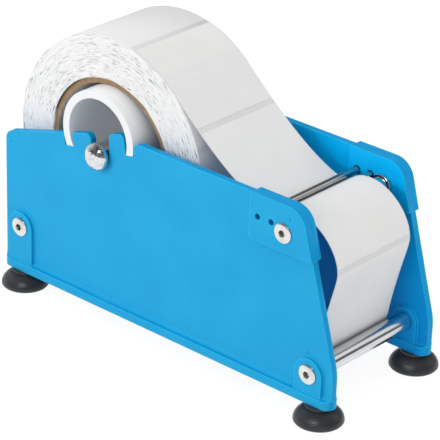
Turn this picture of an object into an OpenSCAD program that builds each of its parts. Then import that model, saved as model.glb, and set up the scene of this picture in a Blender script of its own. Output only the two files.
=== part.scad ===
// Bench label dispenser: two moulded side panels joined by tie rods, a loaded label roll on a
// lift-out arch, a lift-out axle, and a web of labels threaded to the front.
// Millimetres. X points to the front, where the labels come off. Y is across the machine and
// -Y is its right-hand side. Z is up, and the origin is on the bench under the middle.

/* [Side panels] */
// Distance over the outer faces of the two panel walls
frame_w = 81.2; // [74:0.1:100]
// Thickness of the panel wall
wall_t = 3.8; // [3:0.1:5]
// Rear edge of the panels behind the origin
rear_x = 115.4; // [110:0.1:130]
// Front edge of the panels ahead of the origin, at its foot
front_x = 112.5; // [108:0.1:130]
// Height of the level front stretch of the top edge
top_z = 110.2; // [105:0.1:125]
// Drop of the sloping rear stretch from the level stretch down to the rear edge
rear_drop = 22.2; // [18:0.1:26]
// Slope of the rear stretch of the top edge, in degrees
rear_slope = 16.1; // [12:0.1:17]
// Lean of the front edge from the vertical, in degrees
front_lean = 15.9; // [8:0.1:17]
// Height at which the front edge turns upright
front_bend_z = 29.5; // [24:0.1:36]
// How far the bosses stand out of the wall, outside
boss_out = 1.8; // [1:0.1:2.4]
// How far the bosses stand out of the wall, inside
boss_in = 2; // [1:0.1:3]
// Radius of the two lower bosses, outside
boss_r = 8.7; // [8:0.1:9.5]
// Radius of the two lower bosses, inside
boss_in_r = 7.6; // [7:0.1:9]
// How far the corner boss stands proud of the top and front edges
corner_proud = 0.8; // [0.4:0.1:1.2]
// Width of the corner boss behind the rear guide rod
corner_rear = 3.3; // [2:0.1:6]
// Depth of the corner boss below the front upper tie rod
corner_low = 10.4; // [8:0.1:14]
// Radius of the front top corner
corner_r = 11.5; // [8:0.1:14]

/* [Foot flange] */
// Thickness of the flange along the bottom of each panel
flange_t = 4.6; // [3.5:0.1:5.5]
// How far the flange reaches out of the wall, outside
flange_out = 3; // [2:0.1:4]
// How far the flange reaches out of the wall, inside
flange_in = 3.4; // [2:0.1:5]
// Radius of the fillets between the flange and the wall
fillet_r = 2.6; // [1:0.1:3]

/* [Feet] */
// Diameter of a foot
foot_d = 26; // [22:0.1:30]
// Height of a foot
foot_h = 9.7; // [8:0.1:12]
// Diameter of the collar on top of a foot
collar_d = 14.6; // [13:0.1:18]
// Height of the collar
collar_h = 1.9; // [1.5:0.1:2.5]
// Distance of the rear feet from the rear edge of the panels
foot_rear_in = 11.8; // [10:0.1:16]
// Distance of the front feet from the front edge of the panels
foot_front_in = 8.9; // [8:0.1:13]
// Diameter of the stud in a foot
stud_d = 4; // [3:0.1:4.5]
// How far a stud goes up into its panel
stud_in = 9; // [6:0.1:9.5]

/* [Rods] */
// Diameter of the three tie rods
tie_d = 10; // [8:0.1:11]
// Distance of the rear tie rod from the rear edge of the panels
rear_tie_in = 11.7; // [10:0.1:14]
// Height of the rear tie rod
rear_tie_z = 35.4; // [32:0.1:40]
// Distance of the front lower tie rod from the front edge of the panels
low_tie_in = 14.3; // [12:0.1:16]
// Height of the front lower tie rod
low_tie_z = 25.2; // [25:0.1:28]
// Distance of the front upper tie rod from the front edge at the top
up_tie_in = 10.7; // [10:0.1:14]
// Depth of the front upper tie rod below the level top edge
up_tie_down = 14.4; // [13:0.1:16]
// Diameter of the two thin rods, the guide rod and the deflector rod
guide_d = 4; // [3:0.1:5]
// Clear way for the web between the two thin rods
guide_pass = 4.7; // [3.5:0.1:6]
// Depth of the thin rods below the level top edge
guide_down = 11.3; // [10:0.1:13]
// Depth of the seats of the thin rods in the panels
guide_seat = 4.2; // [3.5:0.1:5]
// How far the edge washers on the upper tie rod stand out round it
washer_lip = 1; // [0.6:0.1:1.4]
// Thickness of the edge washers
washer_t = 1.6; // [1:0.1:2]

/* [Screws] */
// Diameter of a screw's shank
screw_d = 6; // [4:0.1:6.5]
// Diameter of a screw's head
head_d = 10.6; // [9:0.1:12]
// Height of a screw's head
head_h = 1.2; // [1:0.1:2]
// Width across flats of the hexagon socket
socket_af = 3.6; // [2.5:0.1:4]
// How far a screw goes into its rod
screw_in = 10; // [6:0.1:14]

/* [Roll arch] */
// Outer diameter of the arch
arch_d = 49.8; // [44:0.1:56]
// Wall of the arch
arch_wall = 4.4; // [3:0.1:5.5]
// Centre of the arch ahead of the rear tie rod
arch_ahead = 56; // [54:0.1:58]
// Depth of the centre of the arch below the level top edge
arch_down = 4.5; // [3:0.1:6]
// Depth of the legs below the centre of the arch, in the slots
leg_drop = 7.5; // [6:0.1:9]
// Depth of the legs below the centre of the arch, between the panels
mid_drop = 14; // [10:0.1:16]
// Lean of the arch to the rear, in degrees
arch_lean = 10.5; // [6:0.1:12]

/* [Axle] */
// Diameter of the axle bar
axle_d = 12.7; // [10:0.1:14]
// Axle ahead of the centre of the arch
axle_ahead = 1.8; // [0.5:0.1:3]
// Depth of the axle below the centre of the arch
axle_down = 9.7; // [8:0.1:11]
// How far the domed caps stand out round the axle bar
cap_lip = 1.15; // [1:0.05:2]
// Height of the domed caps
cap_h = 5.6; // [5.2:0.1:8]
// Depth of the bore in the domed caps
cap_bore = 3; // [2:0.1:3.4]
// Gap between a cap and its panel
cap_stand = 1.5; // [0.3:0.1:3]

/* [Label roll] */
// Bore of the core
core_bore = 76.4; // [70:0.1:90]
// Wall of the core
core_wall = 3; // [2:0.1:5]
// Outer diameter of the roll
roll_d = 128.4; // [110:0.1:131]
// Width of the label web and the roll
web_w = 57; // [40:0.1:60]
// Shift of the roll towards the right-hand panel
roll_shift = 2.6; // [0:0.1:3]
// Centre of the roll behind the centre of the arch
roll_back = 0.5; // [0:0.1:1.5]
// How far the core stands back from the roll's right-hand side, and out of the other side
core_slip = 1; // [0:0.1:1.5]
// Thickness of the backing web
web_t = 0.35; // [0.3:0.05:0.6]
// Thickness of a label on the web
label_t = 0.2; // [0.15:0.05:0.3]
// Distance from one label to the next along the web
label_pitch = 56.7; // [40:0.1:80]
// Gap between two labels
label_gap = 3; // [2:0.1:5]
// Bare margin of the web at each side of a label
label_margin = 1.2; // [0.5:0.1:3]

/* [Fits] */
// Gap between a loose piece and the seat that it rests on
seat_gap = 0.1; // [0.05:0.05:0.2]
// Gap round a piece that slides or lies loose
slide_gap = 0.3; // [0.2:0.05:0.4]
// Radial gap between a turning or lifting shaft and its seat
run_gap = 0.06; // [0.03:0.01:0.08]
// Radial gap between a screw and what it is screwed into
thread_gap = 0.02; // [0.01:0.01:0.05]
// Gap between the deflector rod and the washers beside it
rod_gap = 0.4; // [0.3:0.05:1]

/* [Hidden] */
$fn = 64;
wall_out = frame_w / 2;
wall_in = wall_out - wall_t;
boss_y_out = wall_out + boss_out;
boss_y_in = wall_in - boss_in;
boss_t = boss_y_out - boss_y_in;
flange_y = wall_in - flange_in;
flange_w = flange_in + wall_t + flange_out;
flange_top = foot_h + flange_t;
flange_end = 0.5;
flange_rear = rear_x + flange_end;
flange_front = front_x + flange_end;
foot_y = flange_y + flange_w / 2;
foot_xs = [foot_rear_in - rear_x, front_x - foot_front_in];
front_top_x = front_x - (top_z - front_bend_z) * tan(front_lean);
rear_top_z = top_z - rear_drop;
rear_tie_x = rear_x - rear_tie_in;
low_tie_x = front_x - low_tie_in;
up_tie_x = front_top_x - up_tie_in;
up_tie_z = top_z - up_tie_down;
washer_d = tie_d + 2 * washer_lip;
guide_z = top_z - guide_down;
guide_b_x = up_tie_x - sqrt(pow((washer_d + guide_d) / 2 + rod_gap, 2) - pow(guide_z - up_tie_z, 2));
guide_a_x = guide_b_x - guide_d - guide_pass;
corner_x = guide_a_x - guide_d / 2 - corner_rear;
corner_z = up_tie_z - corner_low;
arch_x = rear_tie_x - arch_ahead;
arch_z = top_z - arch_down;
axle_x = arch_x - axle_ahead;
axle_z = arch_z - axle_down;
arch_r = arch_d / 2;
arch_ri = arch_r - arch_wall;
slot_out = arch_r + slide_gap;
slot_in = sqrt(pow(arch_ri, 2) - pow(leg_drop, 2)) - slide_gap;
core_r = core_bore / 2;
core_ro = core_r + core_wall;
roll_x = -arch_x - roll_back;
roll_z = arch_z + arch_r + slide_gap - core_r;
roll_r = roll_d / 2;
roll_y0 = -roll_shift - web_w / 2;
cap_d = axle_d + 2 * cap_lip;
cap_y = wall_out + cap_stand;
axle_half = cap_y + cap_bore - thread_gap;

// ---- outline helpers ----

function unit(v) = v / norm(v);

// Points that round the corner b of a path a, b, c to the radius r
function corner(a, b, c, r, n) =
  let (u = unit(a - b), w = unit(c - b), half = acos(u * w) / 2,
    o = b + unit(u + w) * r / sin(half), p = b + u * r / tan(half) - o,
    q = b + w * r / tan(half) - o, a0 = atan2(p.y, p.x), turn = atan2(q.y, q.x) - a0,
    d = turn > 180 ? turn - 360 : turn < -180 ? turn + 360 : turn)
  [for (i = [0:n]) o + r * [cos(a0 + d * i / n), sin(a0 + d * i / n)]];

// A closed outline whose corners [x, z, r] are rounded to their own radii
function rounded(pts, n = 8) =
  let (last = len(pts))
  [for (i = [0:last - 1])
    let (a = pts[(i + last - 1) % last], b = pts[i], c = pts[(i + 1) % last])
    each b[2] > 0 ? corner([a.x, a.y], [b.x, b.y], [c.x, c.y], b[2], n) : [[b.x, b.y]]];

function arc(cx, cz, r, a0, a1, n) =
  [for (i = [0:n]) let (t = a0 + (a1 - a0) * i / n) [cx + r * cos(t), cz + r * sin(t)]];

function bezier(a, b, c, d, n) =
  [for (i = [1:n]) let (t = i / n, s = 1 - t)
    s * s * s * a + 3 * s * s * t * b + 3 * s * t * t * c + t * t * t * d];

// An upright plate between y0 and y0 + t, from an outline in X and Z
module plate(y0, t) {
  translate([0, y0 + t, 0])
    rotate([90, 0, 0])
      linear_extrude(t)
        children();
}

// A round bar along Y between y0 and y1
module bar(x, z, r, y0, y1) {
  translate([x, y0, z])
    rotate([-90, 0, 0])
      cylinder(r = r, h = y1 - y0);
}

// ---- side panels ----

// A point in the leaning frame of the arch: u across it, v up it
function in_arch(u, v) =
  [-arch_x + u * cos(arch_lean) - v * sin(arch_lean),
    arch_z + u * sin(arch_lean) + v * cos(arch_lean)];

// Height of the sloping top line at x
function slope_z(x) = rear_top_z + (x + rear_x) * tan(rear_slope);

// Height v at which the line u of the arch's frame meets the sloping top line
function slope_v(u) =
  let (p = in_arch(u, 0))
  (slope_z(p.x) - p.y) / (cos(arch_lean) + sin(arch_lean) * tan(rear_slope));

// Height v at which the line u of the arch's frame meets the level top line
function level_v(u) = (top_z - in_arch(u, 0).y) / cos(arch_lean);

function on_slope(u, r) = concat(in_arch(u, slope_v(u)), [r]);
function front_edge_x(z) = front_x - (z - front_bend_z) * tan(front_lean);

slot_v = -leg_drop - seat_gap;
notch_r = axle_d / 2 + run_gap;
panel_outline = rounded([
  [-rear_x, foot_h, 0],
  [-rear_x, rear_top_z, 6],
  on_slope(-slot_out, 1.2),
  concat(in_arch(-slot_out, slot_v), [0.2]),
  concat(in_arch(-slot_in, slot_v), [0.2]),
  on_slope(-slot_in, 2),
  [-axle_x - notch_r, slope_z(-axle_x - notch_r), 3.4],
  [-axle_x - notch_r, axle_z, 0],
  [-axle_x + notch_r, axle_z, 0],
  [-axle_x + notch_r, slope_z(-axle_x + notch_r), 3.4],
  on_slope(slot_in, 2.6),
  concat(in_arch(slot_in, slot_v), [0.2]),
  concat(in_arch(slot_out, slot_v), [0.2]),
  concat(in_arch(slot_out, level_v(slot_out)), [3.5]),
  [front_top_x, top_z, corner_r],
  [front_x, front_bend_z, 30],
  [front_x, foot_h, 0]]);

corner_outline = rounded([
  [corner_x, corner_z, 2],
  [corner_x, top_z + corner_proud, 1.2],
  [front_top_x + corner_proud, top_z + corner_proud, corner_r],
  [front_edge_x(corner_z) + corner_proud, corner_z, 0.8]]);

// A boss with a round top that rises from the flange to the screw of a tie rod
module boss_plate(x, z, r, y0, t) {
  plate(y0, t)
    polygon(concat([[x + r, foot_h + flange_t / 2]], arc(x, z, r, 0, 180, 24),
      [[x - r, foot_h + flange_t / 2]]));
}

module lower_boss(x, z) {
  boss_plate(x, z, boss_r, wall_in + 1, boss_y_out - wall_in - 1);
  boss_plate(x, z, boss_in_r, boss_y_in, boss_in + 1);
}

// The flange along the bottom edge with its round ends, up to the height top
module flange(top) {
  translate([-flange_rear + flange_w / 2, flange_y, foot_h])
    cube([flange_rear + flange_front - flange_w, flange_w, top - foot_h]);
  for (x = [-flange_rear + flange_w / 2, flange_front - flange_w / 2])
    translate([x, foot_y, foot_h])
      cylinder(d = flange_w, h = top - foot_h);
}

// The fillet along one side of the flange, hollowed to a radius, which runs out at its ends
module fillet(side, y) {
  intersection() {
    flange(flange_top + fillet_r + 1);
    translate([-rear_x, y, flange_top])
      rotate([90, 0, 90])
        linear_extrude(rear_x + front_x)
          polygon(concat([[0, -0.5], [-side * 0.5, -0.5], [-side * 0.5, fillet_r],
            [0, fillet_r]],
            [for (i = [0:6]) let (t = 180 + 15 * i)
              [side * fillet_r * (1 + cos(t)), fillet_r * (1 + sin(t))]],
            [[side * fillet_r, -0.5]]));
  }
}

// Moulding dimples on the outer face: x, z and the face that they are sunk in
dimples = [[up_tie_x + 4.4, up_tie_z + 8.6, boss_y_out],
  [low_tie_x - 1, low_tie_z + 10.9, wall_out],
  [4.4 - rear_x, rear_top_z - 5, wall_out]];

// One panel, on the +Y side of the machine
module side_panel() {
  difference() {
    union() {
      plate(wall_in, wall_t)
        polygon(panel_outline);
      plate(boss_y_in, boss_t)
        polygon(corner_outline);
      lower_boss(-rear_tie_x, rear_tie_z);
      lower_boss(low_tie_x, low_tie_z);
      flange(flange_top);
      fillet(1, wall_out);
      fillet(-1, wall_in);
    }
    bar(-axle_x, axle_z, notch_r, wall_in - 1, wall_out + 1);
    for (p = [[-rear_tie_x, rear_tie_z], [low_tie_x, low_tie_z], [up_tie_x, up_tie_z]])
      bar(p.x, p.y, screw_d / 2 + slide_gap, boss_y_in - 1, boss_y_out + 1);
    for (x = [guide_a_x, guide_b_x]) {
      bar(x, guide_z, guide_d / 2 + run_gap, boss_y_in - 1, boss_y_in + guide_seat);
      bar(x, guide_z, guide_d / 2 + 0.4, boss_y_in - 1, boss_y_in + 0.5);
      bar(x, guide_z, guide_d / 2 - 0.3, boss_y_in, boss_y_out + 1);
    }
    for (x = foot_xs)
      translate([x, foot_y, foot_h - 1])
        cylinder(r = stud_d / 2 + thread_gap, h = stud_in + 1.5);
    for (d = dimples)
      bar(d.x, d.y, 0.9, d[2] - 0.4, d[2] + 1);
  }
}

module left_side_panel() {
  color([0.05, 0.5, 0.84])
    side_panel();
}

module right_side_panel() {
  color([0.05, 0.5, 0.84])
    mirror([0, 1, 0])
      side_panel();
}

// ---- rods and screws ----

// A tie rod with a tapped hole in each end, and a small chamfer round each end face
module tie_rod(x, z, half) {
  edge = 0.5;
  hole = screw_d / 2 + thread_gap;
  depth = screw_in + 1;
  translate([x, 0, z])
    rotate([90, 0, 0])
      rotate_extrude()
        polygon([[0, depth - half], [hole, depth - half], [hole, -half],
          [tie_d / 2 - edge, -half], [tie_d / 2, edge - half], [tie_d / 2, half - edge],
          [tie_d / 2 - edge, half], [hole, half], [hole, half - depth], [0, half - depth]]);
}

// A screw in the +Y panel, whose shank ends at y1
module screw(x, z, y1) {
  shank = boss_y_out - y1;
  rim = 0.5;
  translate([x, boss_y_out, z])
    rotate([-90, 0, 0])
      difference() {
        rotate_extrude()
          polygon(concat([[0, -shank], [screw_d / 2 - 0.5, -shank],
            [screw_d / 2, 0.5 - shank], [screw_d / 2, 0], [head_d / 2, 0], [head_d / 2, rim]],
            [for (i = [1:6]) let (t = 15 * i)
              [head_d / 2 * 0.97 * cos(t), rim + (head_h - rim) * sin(t)]]));
        translate([0, 0, head_h - 1.9])
          cylinder(d = socket_af / cos(30), h = 3, $fn = 6);
      }
}

module screw_pair(x, z, y1) {
  color([0.83, 0.83, 0.82]) {
    screw(x, z, y1);
    mirror([0, 1, 0])
      screw(x, z, y1);
  }
}

module rear_tie_rod() {
  color([0.74, 0.75, 0.76])
    tie_rod(-rear_tie_x, rear_tie_z, boss_y_in);
}

module front_lower_tie_rod() {
  color([0.74, 0.75, 0.76])
    tie_rod(low_tie_x, low_tie_z, boss_y_in);
}

module front_upper_tie_rod() {
  color([0.74, 0.75, 0.76])
    tie_rod(up_tie_x, up_tie_z, boss_y_in - washer_t);
}

module upper_rod_washers() {
  color([0.6, 0.61, 0.62])
    for (y = [-boss_y_in, boss_y_in - washer_t])
      difference() {
        bar(up_tie_x, up_tie_z, washer_d / 2, y, y + washer_t);
        bar(up_tie_x, up_tie_z, screw_d / 2 + 0.2, y - 1, y + washer_t + 1);
      }
}

module rear_rod_screws() {
  screw_pair(-rear_tie_x, rear_tie_z, boss_y_in - screw_in);
}

module front_lower_rod_screws() {
  screw_pair(low_tie_x, low_tie_z, boss_y_in - screw_in);
}

module front_upper_rod_screws() {
  screw_pair(up_tie_x, up_tie_z, boss_y_in - washer_t - screw_in);
}

// A thin rod that lies loose in the blind seats of both panels
module thin_rod(x) {
  half = boss_y_in + guide_seat - slide_gap;
  color([0.7, 0.71, 0.72])
    bar(x, guide_z, guide_d / 2, -half, half);
}

module guide_rod() {
  thin_rod(guide_a_x);
}

module deflector_rod() {
  thin_rod(guide_b_x);
}

// ---- arch and axle ----

// Everything below the height v of the arch, between y0 and y1
module below_arch(v, y0, y1) {
  translate([-arch_r - 1, y0, -arch_r - 1])
    cube([arch_d + 2, y1 - y0, arch_r + 1 + v]);
}

// The arch that carries the core: a tube cut off below its centre, leaning to the rear, with
// deeper legs between the panels
module roll_arch() {
  mid = wall_in - slide_gap;
  color([0.97, 0.97, 0.97])
    translate([-arch_x, 0, arch_z])
      rotate([0, -arch_lean, 0])
        difference() {
          bar(0, 0, arch_r, -wall_out, wall_out);
          bar(0, 0, arch_ri, -wall_out - 1, wall_out + 1);
          below_arch(-mid_drop, -wall_out - 1, wall_out + 1);
          below_arch(-leg_drop, -wall_out - 1, -mid);
          below_arch(-leg_drop, mid, wall_out + 1);
        }
}

module axle_bar() {
  color([0.74, 0.75, 0.76])
    bar(-axle_x, axle_z, axle_d / 2, -axle_half, axle_half);
}

// A domed cap pressed on the end of the axle, on the +Y side
module axle_cap() {
  rim = 1.2;
  translate([-axle_x, cap_y, axle_z])
    rotate([-90, 0, 0])
      rotate_extrude()
        polygon(concat([[axle_d / 2 + thread_gap, 0], [cap_d / 2 - 0.4, 0], [cap_d / 2, 0.4],
          [cap_d / 2, rim]],
          [for (i = [1:9]) let (t = 10 * i) [cap_d / 2 * cos(t), rim + (cap_h - rim) * sin(t)]],
          [[0, cap_bore], [axle_d / 2 + thread_gap, cap_bore]]));
}

module axle_cap_left() {
  color([0.9, 0.9, 0.9])
    axle_cap();
}

module axle_cap_right() {
  color([0.9, 0.9, 0.9])
    mirror([0, 1, 0])
      axle_cap();
}

// ---- roll, web and labels ----

// A ring along Y round the centre of the roll
module ring(ro, ri, y0, y1) {
  difference() {
    bar(roll_x, roll_z, ro, y0, y1);
    bar(roll_x, roll_z, ri, y0 - 1, y1 + 1);
  }
}

module roll_core() {
  color([0.6, 0.48, 0.36])
    ring(core_ro, core_r, roll_y0 + core_slip, roll_y0 + web_w + core_slip);
}

module label_roll() {
  color([0.93, 0.93, 0.92])
    ring(roll_r, core_ro, roll_y0, roll_y0 + web_w);
}

// The middle line of the web in X and Z: off the roll, under the guide rod, over the
// deflector rod and the upper tie rod, out in a free loop and down behind the lower tie rod
start = 75.5;
leave = 47;
web_off = slide_gap + web_t / 2;
chord_sag = 0.05;
leave_r = roll_r + web_off + chord_sag;
leave_p = [roll_x + leave_r * cos(leave), roll_z + leave_r * sin(leave)];
leave_d = [sin(leave), -cos(leave)];
under_r = guide_d / 2 + web_off + label_t + chord_sag;
thin_r = guide_d / 2 + web_off + chord_sag;
over_r = tie_d / 2 + web_off + chord_sag;
under_p = [guide_a_x - 2, guide_z - under_r];
over_p = [up_tie_x, up_tie_z + over_r];
climb = asin((under_r + thin_r) / (guide_b_x - guide_a_x));
loop_p = [low_tie_x + 6.7, up_tie_z - 21.8];
tail_p = [low_tie_x + 1 - tie_d / 2, low_tie_z + 6.3];
end_p = [low_tie_x - 3.8 - tie_d / 2, low_tie_z - 9.2];
web_line = concat(
  arc(roll_x, roll_z, leave_r, start, leave, 8),
  bezier(leave_p, leave_p + 22 * leave_d, under_p + [-22, 6], under_p, 14),
  arc(guide_a_x, guide_z, under_r, -90, climb - 90, 3),
  arc(guide_b_x, guide_z, thin_r, climb + 90, 92, 3),
  bezier(over_p, over_p + [13, 0.6], loop_p + [0, 18], loop_p, 12),
  bezier(loop_p, loop_p + [-0.2, -13], tail_p + [3.7, 14.5], tail_p, 9),
  [end_p]);

// Length along a line up to each of its points
function lengths(p, i = 0, s = 0) =
  i == len(p) - 1 ? [s] : concat([s], lengths(p, i + 1, s + norm(p[i + 1] - p[i])));

web_s = lengths(web_line);
web_end = web_s[len(web_s) - 1];

// The point and the outward normal of the web at the length s
function seg_at(s, i = 0) = i >= len(web_s) - 2 || web_s[i + 1] >= s ? i : seg_at(s, i + 1);
function point_at(s) =
  let (i = seg_at(s), k = (s - web_s[i]) / (web_s[i + 1] - web_s[i]))
  web_line[i] * (1 - k) + web_line[i + 1] * k;
function turn90(v) = [-v.y, v.x];
function normal_of(i) =
  turn90(unit(unit(web_line[min(i + 1, len(web_line) - 1)] - web_line[i] + [1e-9, 0])
    + unit(web_line[i] - web_line[max(i - 1, 0)] + [1e-9, 0])));
function normal_at(s) =
  let (i = seg_at(s), k = (s - web_s[i]) / (web_s[i + 1] - web_s[i]))
  unit(normal_of(i) * (1 - k) + normal_of(i + 1) * k);

// Outline of a strip that follows the web from s0 to s1, between two heights above its middle
function strip(s0, s1, lo, hi) =
  let (stops = concat([s0], [for (s = web_s) if (s > s0 + 0.2 && s < s1 - 0.2) s], [s1]))
  concat([for (s = stops) point_at(s) + lo * normal_at(s)],
    [for (i = [len(stops) - 1:-1:0]) point_at(stops[i]) + hi * normal_at(stops[i])]);

module backing_web() {
  color([0.88, 0.88, 0.87])
    plate(roll_y0, web_w)
      polygon(strip(0, web_end, -web_t / 2, web_t / 2));
}

// Length along the web to the middle of the first gap between two labels
first_gap = 55.1;

module web_labels() {
  color([0.95, 0.95, 0.94])
    for (s = [first_gap - label_pitch:label_pitch:web_end - label_gap])
      plate(roll_y0 + label_margin, web_w - 2 * label_margin)
        polygon(strip(max(0, s + label_gap / 2), min(web_end, s + label_pitch - label_gap / 2),
          web_t / 2, web_t / 2 + label_t));
}

// ---- feet ----

// A domed rubber foot with a collar on top, a hollow sole and a hole for its stud
module foot() {
  r = foot_d / 2;
  waist_r = collar_d / 2 - 0.7;
  waist_z = foot_h - collar_h;
  difference() {
    rotate_extrude()
      polygon(concat([[0, 2.4], [r * 0.5, 1.7], [r - 2.4, 0], [r - 0.6, 0]],
        [for (i = [0:8]) let (t = 10 * i)
          [waist_r + (r - waist_r) * pow(cos(t), 1.4), 0.8 + (waist_z - 0.8) * sin(t)]],
        [[waist_r, waist_z], [waist_r, waist_z + 0.5], [collar_d / 2, waist_z + 0.8],
          [collar_d / 2, foot_h - 0.3], [collar_d / 2 - 0.3, foot_h], [0, foot_h]]));
    translate([0, 0, -1])
      cylinder(r = stud_d / 2 + thread_gap, h = foot_h + 2);
  }
}

module foot_at(x, y) {
  color([0.16, 0.16, 0.17])
    translate([x, y, 0])
      foot();
}

module foot_front_right() {
  foot_at(foot_xs[1], -foot_y);
}

module foot_front_left() {
  foot_at(foot_xs[1], foot_y);
}

module foot_rear_right() {
  foot_at(foot_xs[0], -foot_y);
}

module foot_rear_left() {
  foot_at(foot_xs[0], foot_y);
}

module foot_studs() {
  color([0.7, 0.71, 0.72])
    for (x = foot_xs, y = [-foot_y, foot_y])
      translate([x, y, 3])
        cylinder(d = stud_d, h = foot_h - 3 + stud_in);
}

right_side_panel();
left_side_panel();
rear_tie_rod();
front_lower_tie_rod();
front_upper_tie_rod();
upper_rod_washers();
rear_rod_screws();
front_lower_rod_screws();
front_upper_rod_screws();
guide_rod();
deflector_rod();
roll_arch();
axle_bar();
axle_cap_right();
axle_cap_left();
roll_core();
label_roll();
backing_web();
web_labels();
foot_front_right();
foot_front_left();
foot_rear_right();
foot_rear_left();
foot_studs();
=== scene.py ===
# %% [markdown]
# # A bench label dispenser
#
# This lesson dresses a label dispenser: two blue moulded panels on steel rods, a roll of white
# labels on an arch, and the label web that runs from the roll to the front. The hard parts come
# ready made from the CAD model. What is left is what makes it look real: the paper, the light,
# and a finish for every piece. Lengths are in metres, X points to the front and Z is up.

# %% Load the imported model
import math

import bpy
import numpy as np
from mathutils import Matrix, Vector


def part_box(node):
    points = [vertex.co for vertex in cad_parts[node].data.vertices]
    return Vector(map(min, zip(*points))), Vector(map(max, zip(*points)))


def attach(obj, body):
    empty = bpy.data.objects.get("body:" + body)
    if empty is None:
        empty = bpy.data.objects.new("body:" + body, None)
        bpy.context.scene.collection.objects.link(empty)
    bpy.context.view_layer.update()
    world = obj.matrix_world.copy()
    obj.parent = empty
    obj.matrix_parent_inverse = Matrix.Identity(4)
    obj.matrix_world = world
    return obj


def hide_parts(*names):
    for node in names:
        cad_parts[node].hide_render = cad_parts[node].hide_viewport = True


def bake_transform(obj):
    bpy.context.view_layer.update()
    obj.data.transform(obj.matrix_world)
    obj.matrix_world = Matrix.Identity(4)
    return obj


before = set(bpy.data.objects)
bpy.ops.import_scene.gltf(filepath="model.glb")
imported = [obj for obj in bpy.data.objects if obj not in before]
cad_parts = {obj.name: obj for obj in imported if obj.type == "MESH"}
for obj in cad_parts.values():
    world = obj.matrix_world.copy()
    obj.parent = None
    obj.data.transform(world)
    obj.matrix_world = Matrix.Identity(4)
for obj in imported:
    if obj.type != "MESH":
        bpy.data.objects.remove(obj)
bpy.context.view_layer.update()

MM = 0.001

# %% [markdown]
# ## The camera
#
# The photograph was taken with a long lens from the front right corner, a little above the
# machine, with the camera tilted by about two degrees. What places such a camera is the point
# it looks at, its distance from there, its azimuth, its elevation and its roll. Working with
# angles, and not with a rotation typed in by hand, keeps each of them easy to change.

# %% Place the camera
AZIMUTH, ELEVATION, ROLL = (math.radians(a) for a in (40.844, 26.174, 1.822))
LOOK_AT = np.array([1.78, 0.0, 61.33]) * MM
DISTANCE = 1.2483
FOCAL_PX, IMAGE_PX = 2402.97, 440


def camera_axes(azimuth, elevation, roll):
    """The camera's right, up and back axes.

    Back points from the object to the camera: (sin a cos e, -cos a cos e, sin e). Right lies
    level, at right angles to it, and roll turns right and up about the line of sight.
    """
    back = np.array([math.sin(azimuth) * math.cos(elevation),
                     -math.cos(azimuth) * math.cos(elevation), math.sin(elevation)])
    level = np.cross([0.0, 0.0, 1.0], back)
    level /= np.linalg.norm(level)
    upright = np.cross(back, level)
    right = level * math.cos(roll) + upright * math.sin(roll)
    return right, np.cross(back, right), back


right, up, back = camera_axes(AZIMUTH, ELEVATION, ROLL)
camera = bpy.data.objects.new("camera", bpy.data.cameras.new("camera"))
bpy.context.scene.collection.objects.link(camera)
camera.data.sensor_width = 36.0
camera.data.lens = FOCAL_PX * 36.0 / IMAGE_PX
placed = np.eye(4)
placed[:3, 0], placed[:3, 1], placed[:3, 2] = right, up, back
placed[:3, 3] = LOOK_AT + back * DISTANCE
camera.matrix_world = Matrix(placed.tolist())
bpy.context.scene.camera = camera
print("camera at", np.round(placed[:3, 3], 4), "lens", round(camera.data.lens, 1), "mm")

# %% [markdown]
# ## Small helpers for node trees
#
# Every finish is a tree of shader nodes. Small helpers keep the cells short: they add a node and
# fill its sockets, do sums, mix two colours by a mask, and stretch a value to a new range.


# %% Node helpers
def add(tree, kind, values=None, **settings):
    """Add a shader node, set its own settings, and fill sockets.

    A socket's value is a constant, or another node's output, which is then linked.
    """
    made = tree.nodes.new("ShaderNode" + kind)
    for name, value in settings.items():
        setattr(made, name, value)
    for name, value in (values or {}).items():
        if isinstance(value, bpy.types.NodeSocket):
            tree.links.new(value, made.inputs[name])
        else:
            made.inputs[name].default_value = value
    return made


def maths(tree, operation, a, b=0.0):
    """One arithmetic node: its result is a (operation) b."""
    return add(tree, "Math", {0: a, 1: b}, operation=operation).outputs[0]


def blend_colours(tree, mask, a, b):
    """Colour a where the mask is 0 and colour b where it is 1."""
    return add(tree, "Mix", {0: mask, 6: a, 7: b}, data_type="RGBA").outputs[2]


def ramp(tree, value, low, high, out_low=0.0, out_high=1.0):
    """Stretch value so that low becomes out_low and high becomes out_high, held at both ends."""
    return add(tree, "MapRange", {"Value": value, "From Min": low, "From Max": high,
                                  "To Min": out_low, "To Max": out_high}).outputs[0]


def rgb(red, green, blue):
    """A display colour from 0 to 255 as the linear colour that shaders use.

    The curve is the display standard's: c/12.92 near black, else ((c + 0.055) / 1.055)^2.4.
    """
    c = np.array([red, green, blue]) / 255.0
    linear = np.where(c < 0.04045, c / 12.92, ((c + 0.055) / 1.055) ** 2.4)
    return (*linear.tolist(), 1.0)


print("label white as a linear colour:", np.round(rgb(240, 240, 240), 3))

# %% [markdown]
# ## Floor, surroundings and lamps
#
# The product stands on white paper in a studio. A plain white floor would turn grey away from
# the lamps. This one is pale for the eye and for reflections, yet it still takes a shadow: its
# shader mixes a plain pale surface with white light that only the camera and mirror-like
# surfaces see.

# %% Make the floor
WHITE = (1.0, 1.0, 1.0, 1.0)
FLOOR_HALF = 2.5
FLOOR_GLOW, GLOW_SHARE = 1.12, 0.82


def flat_floor(half):
    """A square of side 2 half at z = 0: the grid of corners (+-half, +-half, 0)."""
    x, y = np.meshgrid([-half, half], [-half, half])
    corners = np.stack([x, y, np.zeros_like(x)], -1).reshape(-1, 3)
    mesh = bpy.data.meshes.new("floor")
    mesh.from_pydata(corners.tolist(), [], [(0, 1, 3, 2)])
    floor = bpy.data.objects.new("floor", mesh)
    bpy.context.scene.collection.objects.link(floor)
    return floor


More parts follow.
